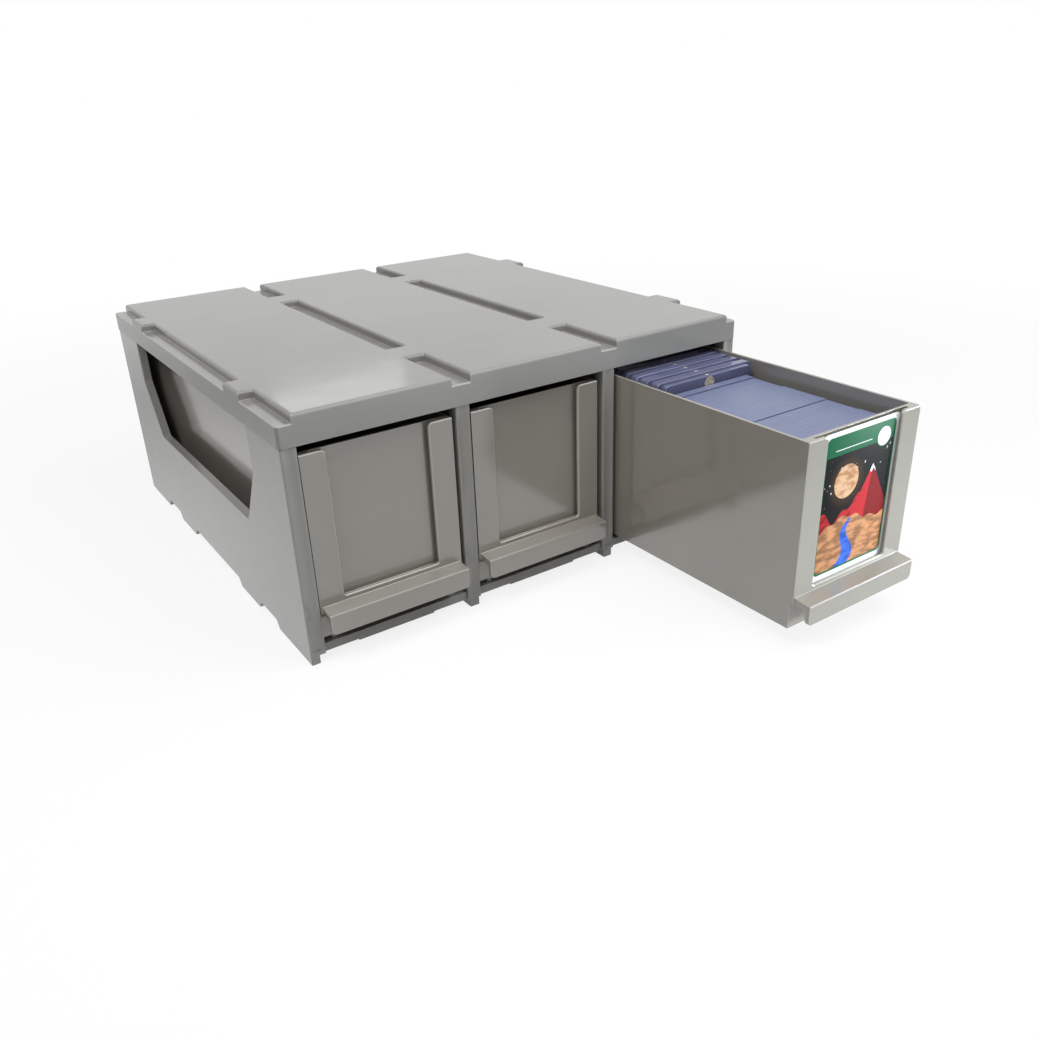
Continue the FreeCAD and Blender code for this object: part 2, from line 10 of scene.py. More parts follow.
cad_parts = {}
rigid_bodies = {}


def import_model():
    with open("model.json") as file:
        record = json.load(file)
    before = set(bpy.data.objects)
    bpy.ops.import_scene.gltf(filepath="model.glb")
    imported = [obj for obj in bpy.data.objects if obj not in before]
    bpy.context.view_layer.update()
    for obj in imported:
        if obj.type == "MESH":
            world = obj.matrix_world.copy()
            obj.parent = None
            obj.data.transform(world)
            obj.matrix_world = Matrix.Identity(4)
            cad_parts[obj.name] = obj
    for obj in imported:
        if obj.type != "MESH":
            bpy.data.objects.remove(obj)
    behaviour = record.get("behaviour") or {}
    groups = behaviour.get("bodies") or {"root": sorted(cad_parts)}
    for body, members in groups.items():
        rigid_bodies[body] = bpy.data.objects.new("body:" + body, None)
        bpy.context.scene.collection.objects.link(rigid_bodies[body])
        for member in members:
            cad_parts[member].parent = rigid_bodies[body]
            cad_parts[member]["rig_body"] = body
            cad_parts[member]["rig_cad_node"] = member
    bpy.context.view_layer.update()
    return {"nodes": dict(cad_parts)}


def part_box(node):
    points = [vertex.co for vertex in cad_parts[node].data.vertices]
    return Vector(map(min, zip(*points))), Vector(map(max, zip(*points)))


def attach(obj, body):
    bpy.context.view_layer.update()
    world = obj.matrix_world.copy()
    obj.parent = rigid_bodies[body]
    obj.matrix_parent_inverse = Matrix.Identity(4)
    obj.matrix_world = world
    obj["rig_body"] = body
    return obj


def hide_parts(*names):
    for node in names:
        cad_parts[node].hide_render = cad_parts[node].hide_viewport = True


bl_info = {
    "name": "Card storage box",
    "version": (1, 0, 0),
    "blender": (4, 5, 0),
    "location": "View3D > Sidebar > Card box",
    "description": "Dresses the packed card storage box and sets up its studio",
    "category": "Object",
}

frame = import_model()

MM = 0.001
PICTURE_SIDE = 1039
WHITE = (1.0, 1.0, 1.0)
FLAT = math.radians(0.6)  # faces that turn less than this from each other become one face
MOULD_SMOOTH = math.radians(60)  # edges that turn less than this are shaded smooth
PIECE_SMOOTH = math.radians(30)  # the same on the contents of the open drawer
FACING = 0.99  # share of a face's normal along an axis, from which the face looks that way
ROUND_STEPS = 2  # faces across a rounded edge
CORNER_STEPS = 3  # faces across a sleeve's rounded corner
PLASTIC_IOR = 1.5

CABINET = {
    "lid": "lid",
    "base_tray": "base",
    "left_side": "side_left",
    "right_side": "side_right",
    "divider_left": "divider_a",
    "divider_right": "divider_b",
    "back_panel": "back",
}
DRAWERS = (1, 2, 3)
EMPTY_DRAWERS = (1, 2)
STACKS = (1, 2, 3, 4, 5)
HOLDERS = (1, 2, 3, 4, 5)

# Panel lamps. Power and colour name a value in StageSettings; the rest is in metres and degrees.
Lamp = namedtuple("Lamp", "power size place aim spread colour", defaults=(180, None))
LAMPS = {
    "overhead": Lamp(
        "overhead", (0.8, 0.8), place=(0.35, -0.45, 0.95), aim=(0.05, 0.05, 0.1), colour="sky"),
    "high_front": Lamp(
        "high_front", (0.5, 0.5), place=(-0.32, -0.60, 0.80), aim=(0.0, 0.0, 0.1)),
    "left_key": Lamp(
        "key", (0.8, 0.8), place=(-1.0, -0.2, 1.8), aim=(-0.1, 0.05, 0.1)),
    "front_panel": Lamp(
        "front", (0.25, 0.10), place=(0.62, -0.53, 0.09), aim=(0.1, -0.27, 0.06),
        spread=32, colour="cool"),
    "corner_glint": Lamp(
        "glint", (0.26, 0.02), place=(0.355, 1.057, 0.534), aim=(0.355, -0.073, 0.149)),
}


# ---------------------------------------------------------------- sizes and colours
class MouldSettings(bpy.types.PropertyGroup):
    edge: bpy.props.FloatProperty(
        name="Edge rounding", description="Width of the rounding that the mould leaves on edges",
        default=0.5 * MM, unit="LENGTH")
    merge: bpy.props.FloatProperty(
        name="Merge distance", description="Corners nearer than this are one corner",
        default=0.002 * MM, precision=6, unit="LENGTH")
    sharp: bpy.props.FloatProperty(
        name="Sharp angle", description="Edges sharper than this are rounded",
        default=math.radians(32), subtype="ANGLE")
    cabinet_colour: bpy.props.FloatVectorProperty(
        name="Cabinet colour", description="Colour of the lid, base, sides, dividers and back",
        default=(0.270, 0.264, 0.248), subtype="COLOR")
    drawer_colour: bpy.props.FloatVectorProperty(
        name="Drawer colour", description="Colour of the drawers",
        default=(0.246, 0.230, 0.198), subtype="COLOR")
    # Painted highlight: a lighter grey on the rounded edges stands in for the light they catch.
    edge_highlight_tone: bpy.props.FloatProperty(
        name="Edge tone", description="How much lighter the rounded edges are", default=1.55)
    jamb: bpy.props.FloatProperty(
        name="Window frame depth", description="Depth of the frame round a side window",
        default=5.5 * MM, unit="LENGTH")
    window: bpy.props.FloatVectorProperty(
        name="Side window", description="Front end, back end, sill height and shoulder height",
        default=(-33.05 * MM, 194.95 * MM, 64.5 * MM, 102.0 * MM), size=4, unit="LENGTH")
    window_run: bpy.props.FloatProperty(
        name="Slant", description="Length of the window's slanted ends",
        default=24.0 * MM, unit="LENGTH")
    bow: bpy.props.FloatProperty(
        name="Wall bow", description="How far an empty drawer's walls lean in",
        default=4.4 * MM, unit="LENGTH")
    wall: bpy.props.FloatProperty(
        name="Drawer wall", description="Thickness of a drawer's walls",
        default=1.8 * MM, unit="LENGTH")
    bow_rise: bpy.props.FloatProperty(
        name="Bow rise", description="Height over which the lean grows to its full size",
        default=50.0 * MM, unit="LENGTH")
    bow_strips: bpy.props.IntProperty(
        name="Bow strips", description="Strips along a wall that leans in", default=16)
    bow_courses: bpy.props.IntProperty(
        name="Bow courses", description="Courses up a wall that leans in", default=8)
    gloss: bpy.props.FloatProperty(
        name="Roughness", description="Mean roughness of the grey plastic", default=0.13)
    grain: bpy.props.FloatProperty(
        name="Grain", description="How much rougher the tops of the pull handles are", default=0.3)
    skin_gloss: bpy.props.FloatProperty(
        name="Skin roughness", description="Roughness of the polish", default=0.13)
    cabinet_skin: bpy.props.FloatProperty(
        name="Cabinet skin", description="Strength of the polish on the cabinet", default=0.0)
    side_skin: bpy.props.FloatProperty(
        name="Side skin", description="Strength of the polish on the side panels", default=0.25)
    drawer_skin: bpy.props.FloatProperty(
        name="Drawer skin", description="Strength of the polish on the drawers", default=0.75)


class FillSettings(bpy.types.PropertyGroup):
    pitch: bpy.props.FloatProperty(
        name="Sleeve pitch", description="One rigid sleeve to the next",
        default=3.0 * MM, unit="LENGTH")
    gap: bpy.props.FloatProperty(
        name="Sleeve gap", description="Air between two sleeves",
        default=0.02 * MM, unit="LENGTH")
    sheet: bpy.props.FloatProperty(
        name="Sleeve wall", description="Thickness of a sleeve's two sheets",
        default=0.5 * MM, unit="LENGTH")
    mouth: bpy.props.FloatProperty(
        name="Mouth depth", description="Sleeve's top to the card's edge",
        default=0.05 * MM, unit="LENGTH")
    lower: bpy.props.FloatVectorProperty(
        name="Lower groups", description="How far each group's tops stay below the tallest",
        default=(0.0, 0.5 * MM, 0.1 * MM, 0.7 * MM, 0.0), size=5, unit="LENGTH")
    corner: bpy.props.FloatProperty(
        name="Sleeve corner", description="Radius of a sleeve's corners",
        default=2.0 * MM, unit="LENGTH")
    shell_edge: bpy.props.FloatProperty(
        name="Holder edge", description="Rounding on a holder's edges",
        default=0.25 * MM, unit="LENGTH")
    rim: bpy.props.FloatProperty(
        name="Magnet rim", description="Width of the magnet's rim",
        default=0.8 * MM, unit="LENGTH")
    sink: bpy.props.FloatProperty(
        name="Magnet sink", description="Depth of the face inside the rim",
        default=0.35 * MM, unit="LENGTH")
    magnet_sides: bpy.props.IntProperty(
        name="Magnet sides", description="Flats round the magnet's edge", default=40)
    # Painted highlight: a lighter tint on the holders' rounded edges.
    holder_highlight_tone: bpy.props.FloatProperty(
        name="Holder rim tone", description="How much lighter a holder's rounded edges are",
        default=1.9)
    sleeve_colour: bpy.props.FloatVectorProperty(
        name="Sleeve colour", description="Hazy blue-violet of the rigid sleeves",
        default=(0.168, 0.192, 0.312), subtype="COLOR")
    holder_colour: bpy.props.FloatVectorProperty(
        name="Holder colour", description="Blue-violet of the magnetic holders",
        default=(0.100, 0.105, 0.178), subtype="COLOR")
    magnet_colour: bpy.props.FloatVectorProperty(
        name="Magnet colour", description="Plated magnet",
        default=(0.70, 0.60, 0.42), subtype="COLOR")


class CardSettings(bpy.types.PropertyGroup):
    edge: bpy.props.FloatProperty(
        name="Card edge", description="Rounding on the card's edges",
        default=0.1 * MM, unit="LENGTH")
    paper: bpy.props.FloatVectorProperty(
        name="Border", description="Card's border", default=(0.80, 0.82, 0.83), subtype="COLOR")
    green: bpy.props.FloatVectorProperty(
        name="Green", description="Frame line and title band",
        default=(0.004, 0.115, 0.045), subtype="COLOR")
    night: bpy.props.FloatVectorProperty(
        name="Night", description="Sky above the hills",
        default=(0.0015, 0.0015, 0.002), subtype="COLOR")
    red: bpy.props.FloatVectorProperty(
        name="Red", description="Hills", default=(0.44, 0.018, 0.025), subtype="COLOR")
    blue: bpy.props.FloatVectorProperty(
        name="Blue", description="River", default=(0.02, 0.075, 0.36), subtype="COLOR")
    sand: bpy.props.FloatVectorProperty(
        name="Sand", description="Ground", default=(0.44, 0.21, 0.10), subtype="COLOR")
    cream: bpy.props.FloatVectorProperty(
        name="Cream", description="Moon", default=(0.62, 0.40, 0.24), subtype="COLOR")


class StageSettings(bpy.types.PropertyGroup):
    azimuth: bpy.props.FloatProperty(
        name="Azimuth", description="View direction, turned from the cabinet's depth",
        default=math.radians(33.512), subtype="ANGLE")
    elevation: bpy.props.FloatProperty(
        name="Elevation", description="View direction below the horizon",
        default=math.radians(25.64), subtype="ANGLE")
    roll: bpy.props.FloatProperty(
        name="Roll", description="Camera turned about its view direction",
        default=math.radians(-2.235), subtype="ANGLE")
    place: bpy.props.FloatVectorProperty(
        name="Camera place", description="Where the camera stands",
        default=(-0.30986, -0.52490, 0.30295), subtype="XYZ", unit="LENGTH")
    focal: bpy.props.FloatProperty(
        name="Focal length", description="In picture sides", default=943.10 / PICTURE_SIDE)
    sensor: bpy.props.FloatProperty(
        name="Sensor", description="Sensor width in millimetres", default=36.0)
    ambient: bpy.props.FloatProperty(
        name="Ambient", description="Level of the room's light", default=0.18)
    overhead: bpy.props.FloatProperty(
        name="Overhead", description="Power of the panel above", default=7.0, unit="POWER")
    high_front: bpy.props.FloatProperty(
        name="High front", description="Power of the panel above the viewer",
        default=1.0, unit="POWER")
    key: bpy.props.FloatProperty(
        name="Key", description="Power of the panel at the left", default=17.0, unit="POWER")
    front: bpy.props.FloatProperty(
        name="Front", description="Power of the panel before the open drawer",
        default=0.40, unit="POWER")
    cool: bpy.props.FloatVectorProperty(
        name="Cool light", description="Colour of the panel before the open drawer",
        default=(0.86, 0.94, 1.0), subtype="COLOR")
    sky: bpy.props.FloatVectorProperty(
        name="Overhead colour", description="Colour of the panel above",
        default=(0.96, 0.985, 1.0), subtype="COLOR")
    glint: bpy.props.FloatProperty(
        name="Glint", description="Power of the narrow panel that the lid's front edge mirrors",
        default=0.06, unit="POWER")
    floor_side: bpy.props.FloatProperty(
        name="Floor side", description="Side of the square floor", default=12.0, unit="LENGTH")
    floor_colour: bpy.props.FloatVectorProperty(
        name="Floor", description="Pale floor", default=(0.92, 0.92, 0.92), subtype="COLOR")
    floor_return: bpy.props.FloatProperty(
        name="Floor return", description="Share of its light that the floor throws back on the box",
        default=0.4)
    floor_near: bpy.props.FloatProperty(
        name="Near floor return", description="The same share close to the box", default=0.66)
    floor_glow: bpy.props.FloatProperty(
        name="Floor whiteness", description="Share of plain white that is seen near the box",
        default=0.84)
    floor_mirror: bpy.props.FloatProperty(
        name="Mirrored whiteness", description="The same share in the box's reflections",
        default=0.92)
    floor_dim: bpy.props.FloatProperty(
        name="Rear whiteness", description="Part of the mirrored whiteness left far behind the box",
        default=0.4)
    near_reach: bpy.props.FloatVectorProperty(
        name="Near reach", description="Where the near floor's return ends: from, to",
        default=(0.3, 0.6), size=2, unit="LENGTH")
    rear_reach: bpy.props.FloatVectorProperty(
        name="Rear reach", description="Where the mirrored whiteness fades in depth: from, to",
        default=(0.05, 0.5), size=2, unit="LENGTH")
    white_reach: bpy.props.FloatVectorProperty(
        name="White reach", description="Where the floor turns plain white: from, to",
        default=(0.35, 1.1), size=2, unit="LENGTH")


# ---------------------------------------------------------------- shader expressions
class Wire:
    """One value on its way through a material; arithmetic on it adds Math nodes."""

    def __init__(self, paint, socket):
        self.paint = paint
        self.socket = socket

    def math(self, operation, *others):
        inputs = dict(enumerate((self,) + others))
        return self.paint.node("ShaderNodeMath", {"operation": operation}, inputs)

    def __add__(self, other):
        return self.math("ADD", other)

    def __radd__(self, other):
        return self.math("ADD", other)

    def __sub__(self, other):
        return self.math("SUBTRACT", other)

    def __rsub__(self, other):
        return self.paint.node("ShaderNodeMath", {"operation": "SUBTRACT"}, {0: other, 1: self})

    def __mul__(self, other):
        return self.math("MULTIPLY", other)

    def __rmul__(self, other):
        return self.math("MULTIPLY", other)

    def __truediv__(self, other):
        return self.math("DIVIDE", other)

    def __abs__(self):
        return self.math("ABSOLUTE")

    def most(self, other):
        return self.math("MAXIMUM", other)

    def root(self):
        return self.math("SQRT")

    def sine(self):
        return self.math("SINE")

    def rise(self, low, high, first=0.0, last=1.0):
        """Smooth step from first below low to last above high."""
        return self.paint.node(
            "ShaderNodeMapRange", {"interpolation_type": "SMOOTHSTEP"},
            {"Value": self, "From Min": low, "From Max": high, "To Min": first, "To Max": last})


class Paint:
    """The nodes of a material under construction, or of the world."""

    def __init__(self, name, blocks=None, output="ShaderNodeOutputMaterial"):
        self.block = (bpy.data.materials if blocks is None else blocks).new(name)
        self.block.use_nodes = True
        self.tree = self.block.node_tree
        self.tree.nodes.clear()
        self.output = output

    def node(self, kind, settings=None, inputs=None, output=0):
        made = self.tree.nodes.new(kind)
        for key, value in (settings or {}).items():
            setattr(made, key, value)
        for key, value in (inputs or {}).items():
            if isinstance(value, Wire):
                self.tree.links.new(value.socket, made.inputs[key])
            else:
                made.inputs[key].default_value = value
        return Wire(self, made.outputs[output])

    def place(self):
        """The point on the piece, in metres."""
        return self.node("ShaderNodeTexCoord", output="Object")

    def axes(self):
        """That point's three parts: across, along and up."""
        place = self.place()
        return [self.node("ShaderNodeSeparateXYZ", inputs={"Vector": place}, output=i)
                for i in range(3)]

    def ray(self, kind):
        """1 for rays of that kind and 0 for others."""
        return self.node("ShaderNodeLightPath", output="Is %s Ray" % kind)

    def noise(self, scale, detail=2.0, roughness=0.5, stretch=None):
        """Noise over the piece; a larger stretch along an axis makes it finer there."""
        where = self.place()
        if stretch:
            where = self.node("ShaderNodeMapping", inputs={"Vector": where, "Scale": stretch})
        inputs = {"Vector": where, "Scale": scale, "Detail": detail, "Roughness": roughness}
        return self.node("ShaderNodeTexNoise", inputs=inputs, output="Fac")

    def blend(self, factor, first, second):
        """From the first colour at factor 0 to the second at factor 1."""
        inputs = {0: factor}
        for slot, value in ((6, first), (7, second)):
            inputs[slot] = value if isinstance(value, Wire) else opaque(value)
        return self.node("ShaderNodeMix", {"data_type": "RGBA"}, inputs, output=2)

    def bump(self, height, strength, distance):
        return self.node("ShaderNodeBump", inputs={
            "Height": height, "Strength": strength, "Distance": distance}, output="Normal")

    def finish(self, fixed, linked):
        """Close with one shader: fixed values on its own sockets, and what varies linked in."""
        return self.close(self.node("ShaderNodeBsdfPrincipled", inputs={**fixed, **linked}))

    def close(self, shader):
        """Link the shader to the output, and return the material or world."""
        out = self.tree.nodes.new(self.output)
        self.tree.links.new(shader.socket, out.inputs["Surface"])
        return self.block


def tinted(colour, factor):
    return tuple(min(1.0, channel * factor) for channel in colour)


def opaque(colour):
    return tuple(colour) + (1.0,)


def handle_top(paint):
    """1 on top of the pull handles, which are grained, and 0 elsewhere.

    Drawer 3, right of 55 mm, stands open, so its front is further forward. The tops of the
    handles lie between 32 and 35 mm high.
    """
    across, along, up = paint.axes()
    closed, opened = -83.2 * MM, -235.8 * MM
    front = across.rise(54 * MM, 56 * MM, closed, opened)
    ahead = (front - along).rise(0.0, 0.4 * MM)
    return ahead * up.rise(31.5 * MM, 32.0 * MM) * up.rise(35 * MM, 36 * MM, 1.0, 0.0)


def moulded_grey(name, colour, settings, skin):
    """Glossy injection-moulded plastic: faint flow marks, a slight warp and a fine skin."""
    paint = Paint(name)
    flow = paint.noise(9.0, detail=3.0, roughness=0.55, stretch=(1.0, 1.0, 0.35))
    cloud = paint.noise(55.0)
    base = paint.blend(flow.rise(0.3, 0.7), tinted(colour, 0.955), tinted(colour, 1.045))
    base = paint.blend(cloud.rise(0.35, 0.7) * 0.35, base, tinted(colour, 1.05))
    scuff = paint.noise(140.0, detail=4.0, roughness=0.6)
    rough = flow.rise(0.25, 0.75, settings.gloss - 0.02, settings.gloss + 0.02)
    rough = rough + scuff.rise(0.58, 0.8, 0.0, 0.04) + handle_top(paint) * settings.grain
    warp = paint.noise(22.0, detail=1.0)
    ripple = paint.noise(75.0, detail=1.0)
    normal = paint.bump(warp + ripple * 0.14, strength=0.25, distance=0.7 * MM)
    specular = 0.3 + 0.9 * skin  # a polished face mirrors more
    return paint.finish(
        {"IOR": PLASTIC_IOR, "Specular IOR Level": specular, "Coat Weight": skin,
         "Coat Roughness": settings.skin_gloss},
        {"Base Color": base, "Roughness": rough, "Normal": normal})


def moulded_pair(name, colour, settings, skin):
    """The grey of the faces, and a lighter grey on the rounded edges, which is a painted highlight.
    """
    return (moulded_grey(name, colour, settings, skin),
            moulded_grey(name + "_edge", tinted(colour, settings.edge_highlight_tone), settings, skin))


def hazy_sleeve(name, colour):
    """Rigid sleeves: hazy blue-violet with a grain along the sheets; darker lower down in the
    drawer and paler towards the top, a painted shade.
    """
    paint = Paint(name)
    up = paint.axes()[2]
    haze = paint.noise(28.0)
    streak = paint.noise(500.0, detail=1.0, stretch=(0.006, 1.0, 0.05))
    # Painted shade: darker lower down in the drawer, paler towards the top.
    pale = up.rise(108.0 * MM, 116.6 * MM)
    base = paint.blend(pale, tinted(colour, 0.55), colour)
    base = paint.blend(haze.rise(0.35, 0.7) * 0.35, base, tinted(colour, 1.12))
    base = paint.blend(streak.rise(0.45, 0.6) * 0.35, base, tinted(colour, 0.86))
    rough = haze.rise(0.3, 0.7, 0.34, 0.44)
    normal = paint.bump(streak, strength=0.05, distance=0.05 * MM)
    return paint.finish(
        {"IOR": PLASTIC_IOR}, {"Base Color": base, "Roughness": rough, "Normal": normal})


def clear_holder(name, colour, metal, magnet, pitch):
    """Tinted shells: deep lower down and paler towards the top, a painted light and shade, with
    painted bright streaks near the top; a glint of each magnet is painted on the top in the
    magnet's colour.

    magnet is the middle of the first magnet, and pitch is one holder to the next.
    """
    paint = Paint(name)
    across, along, up = paint.axes()
    haze = paint.noise(40.0)
    streak = paint.noise(60.0, stretch=(0.5, 1.0, 4.0))
    # Painted light and shade: darker lower down, paler towards the top.
    rim = up.rise(116.5 * MM, 123.8 * MM)
    base = paint.blend(rim, tinted(colour, 0.8), tinted(colour, 1.35))
    base = paint.blend(haze.rise(0.35, 0.7) * 0.5, base, tinted(colour, 0.95))
    # Painted sheen: bright streaks near the top.
    base = paint.blend(streak.rise(0.55, 0.7) * rim * 0.5, base, tinted(colour, 2.0))
    behind = 1.7 * MM  # a magnet's middle to its glint on the holder's top
    # Painted glint: a spot of the magnet's colour on each holder's top, a little behind its magnet.
    turn = abs(((along - magnet.y - behind) / pitch).math("FRACT") - 0.5)
    glint = abs(across - magnet.x).rise(0.7 * MM, 1.3 * MM, 1.0, 0.0)
    glint = glint * up.rise(122.4 * MM, 123.0 * MM)
    base = paint.blend(glint * turn.rise(0.38, 0.42), base, metal)
    rough = haze.rise(0.3, 0.7, 0.08, 0.15)
    normal = paint.bump(paint.noise(45.0, detail=1.0), strength=0.3, distance=0.5 * MM)
    return paint.finish(
        {"IOR": PLASTIC_IOR}, {"Base Color": base, "Roughness": rough, "Normal": normal})


def plated_metal(name, colour):
    """Bright plating with a fine grain."""
    paint = Paint(name)
    grain = paint.noise(900.0, detail=3.0)
    base = paint.blend(grain.rise(0.3, 0.7), tinted(colour, 0.82), tinted(colour, 1.1))
    rough = grain.rise(0.3, 0.7, 0.18, 0.30)
    return paint.finish({"Metallic": 0.6}, {"Base Color": base, "Roughness": rough})


def printed_card(name, settings, low, high):
    """Generic landscape on card stock: night sky, moon, red hills, a river and sand.

    It is drawn in millimetres: x from the card's middle and z from its lower edge. A distance
    is negative inside its shape.
    """
    paint = Paint(name)
    across, _, up = paint.axes()
    x = (across - (low.x + high.x) / 2) / MM
    z = (up - low.z) / MM
    soft = 0.12
    moon_x, moon_z, moon_radius = -9.0, 58.0, 10.0
    peak_x, peak_z = 13.0, 63.0
    band_z, rule_z = 75.0, 78.0
    seal_x, seal_z, seal_radius = 19.5, 77.4, 6.2

    def inside(distance):
        return distance.rise(-soft, soft, 1.0, 0.0)

    def rounded(half_x, low_z, high_z, radius):
        dx = (abs(x) - (half_x - radius)).most(0.0)
        dz = (abs(z - (low_z + high_z) / 2) - ((high_z - low_z) / 2 - radius)).most(0.0)
        return (dx * dx + dz * dz).root() - radius

    def disc(at_x, at_z, radius):
        dx = x - at_x
        dz = z - at_z
        return (dx * dx + dz * dz).root() - radius

    grain = paint.noise(700.0, detail=3.0, roughness=0.6)
    dune = paint.noise(130.0, detail=3.0, roughness=0.6, stretch=(1.0, 1.0, 2.6))
    sand = paint.blend(
        dune.rise(0.35, 0.65), tinted(settings.sand, 0.55), tinted(settings.sand, 1.25))
    picture = paint.blend(z.rise(40.0, 74.0), tinted(settings.night, 2.0), settings.night)
    glow = disc(moon_x, moon_z, 0.0).rise(9.0, 17.0, 0.22, 0.0)
    picture = paint.blend(glow, picture, tinted(settings.sand, 0.4))
    stars = paint.noise(620.0, detail=0.0).rise(0.80, 0.84) * z.rise(44.0, 50.0)
    picture = paint.blend(stars * 0.7, picture, settings.paper)
    moon = paint.blend(dune.rise(0.4, 0.62), settings.cream, tinted(settings.sand, 0.9))
    picture = paint.blend(inside(disc(moon_x, moon_z, moon_radius)), picture, moon)
    far = 41.0 + 5.0 * (x * 0.16 + 1.0).sine() + 2.2 * (x * 0.45).sine()
    far_hill = paint.blend(dune.rise(0.42, 0.58), tinted(settings.red, 0.55), settings.red)
    picture = paint.blend(inside(z - far), picture, far_hill)
    peak = peak_z - 1.75 * abs(x - peak_x)
    peak_side = (x - peak_x + 0.12 * (peak_z - z)).rise(-0.4, 0.4)
    peak_tone = paint.blend(peak_side, settings.red, tinted(settings.red, 0.42))
    picture = paint.blend(inside(z - peak), picture, peak_tone)
    snow = 59.0 - 1.1 * (x * 1.7).sine()
    snowy = inside(z - peak) * (z - snow).rise(-0.3, 0.3)
    picture = paint.blend(snowy, picture, settings.paper)
    near = 33.0 + 3.2 * (x * 0.11 + 2.4).sine() + 1.0 * (x * 0.5).sine()
    picture = paint.blend(inside(z - near), picture, sand)
    bend = abs(x + 4.0 - 0.55 * (z - 20.0) - 7.0 * (z * 0.16).sine())
    river = inside(bend - (1.2 + 0.17 * (34.0 - z))) * inside(z - near + 1.0)
    water = paint.blend(dune.rise(0.4, 0.6), settings.blue, tinted(settings.blue, 1.9))
    picture = paint.blend(river, picture, water)
    picture = paint.blend((z - band_z).rise(-soft, soft), picture, settings.green)
    rule = inside(abs(z - rule_z) - 0.25) * inside(abs(x + 6.0) - 15.0)
    picture = paint.blend(rule, picture, settings.paper)
    seal = disc(seal_x, seal_z, seal_radius)
    picture = paint.blend(inside(seal), picture, settings.green)
    picture = paint.blend(inside(seal + 0.7), picture, settings.paper)
    window = inside(rounded(27.8, 5.6, 85.1, 2.6))
    line = inside(rounded(29.1, 4.3, 86.4, 3.8))
    sheet = paint.blend(line, settings.paper, settings.green)
    sheet = paint.blend(window, sheet, picture)
    rough = grain.rise(0.3, 0.7, 0.34, 0.44)
    return paint.finish(
        {"IOR": 1.4, "Specular IOR Level": 0.12}, {"Base Color": sheet, "Roughness": rough})


# ---------------------------------------------------------------- modelling by hand
def deselect():
    if bpy.context.object and bpy.context.object.mode != "OBJECT":
        bpy.ops.object.mode_set(mode="OBJECT")
    bpy.ops.object.select_all(action="DESELECT")


def take(piece):
    """Select one piece and make it the active one."""
    deselect()
    piece.select_set(True)
    bpy.context.view_layer.objects.active = piece


def edit_all(piece, mode="FACE"):
    take(piece)
    bpy.ops.object.mode_set(mode="EDIT")
    bpy.ops.mesh.select_mode(type=mode)
    bpy.ops.mesh.select_all(action="SELECT")


def pick(piece, wanted, edges=False):
    """In edit mode, select only the faces or edges for which wanted(item, mesh) holds."""
    bpy.ops.mesh.select_all(action="DESELECT")
    bpy.ops.object.mode_set(mode="OBJECT")
    mesh = piece.data
    for item in mesh.edges if edges else mesh.polygons:
        item.select = wanted(item, mesh)
    bpy.ops.object.mode_set(mode="EDIT")


def apply(piece, kind, **settings):
    """Run one modifier on a piece."""
    take(piece)
    modifier = piece.modifiers.new(kind.title(), kind)
    for key, value in settings.items():
        setattr(modifier, key, value)
    bpy.ops.object.modifier_apply(modifier=modifier.name)


def weld(piece, merge):
    """Drop faces and edges without a size."""
    edit_all(piece, "VERT")
    bpy.ops.mesh.dissolve_degenerate(threshold=merge)
    bpy.ops.object.mode_set(mode="OBJECT")


def smooth(piece, angle):
    take(piece)
    bpy.ops.object.shade_smooth_by_angle(angle=angle)


def coat(piece, *materials):
    """Give a piece its materials; faces keep their material numbers."""
    for count, material in enumerate(materials):
        if count < len(piece.data.materials):
            piece.data.materials[count] = material
        else:
            piece.data.materials.append(material)


def settle(piece, body, slot, *nodes):
    """Place and hand over a finished piece."""
    take(piece)
    bpy.ops.object.transform_apply(location=True, rotation=True, scale=True)
    piece.data.name = piece.name
    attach(piece, body)
    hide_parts(*nodes)


def flatten():
    """In edit mode, join faces that lie in one plane; then leave it."""
    bpy.ops.mesh.dissolve_limited(angle_limit=FLAT, use_dissolve_boundaries=False)
    bpy.ops.object.mode_set(mode="OBJECT")


def copy_node(node, name, merge):
    """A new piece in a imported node's shape: corners merged, flat triangles joined."""
    take(frame["nodes"][node])
    bpy.ops.object.duplicate(linked=False)
    piece = bpy.context.view_layer.objects.active
    bpy.ops.object.parent_clear(type="CLEAR_KEEP_TRANSFORM")
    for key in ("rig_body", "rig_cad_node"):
        del piece[key]
    piece.name = name
    piece.data.materials.clear()
    edit_all(piece, "VERT")
    bpy.ops.mesh.customdata_custom_splitnormals_clear()
    bpy.ops.mesh.remove_doubles(threshold=merge)
    flatten()
    return piece


def join_shapes(first, second, operation="UNION"):
    """One closed shape from two: their sum, or the first less the second."""
    apply(first, "BOOLEAN", operation=operation, solver="EXACT", object=second)
    bpy.data.objects.remove(second)
    edit_all(first, "VERT")
    flatten()


def soften(piece, settings, width):
    """The small rounding that a mould leaves along every sharp edge; broad faces stay flat."""
    # The rounding's faces take the last material, a lighter copy that paints a highlight on the
    # edges.
    apply(piece, "BEVEL", width=width, segments=ROUND_STEPS, limit_method="ANGLE",
          angle_limit=settings.sharp, use_clamp_overlap=True, miter_outer="MITER_ARC",
          material=len(piece.data.materials) - 1)
    weld(piece, settings.merge)
    smooth(piece, MOULD_SMOOTH)
    apply(piece, "WEIGHTED_NORMAL", keep_sharp=True, weight=100)


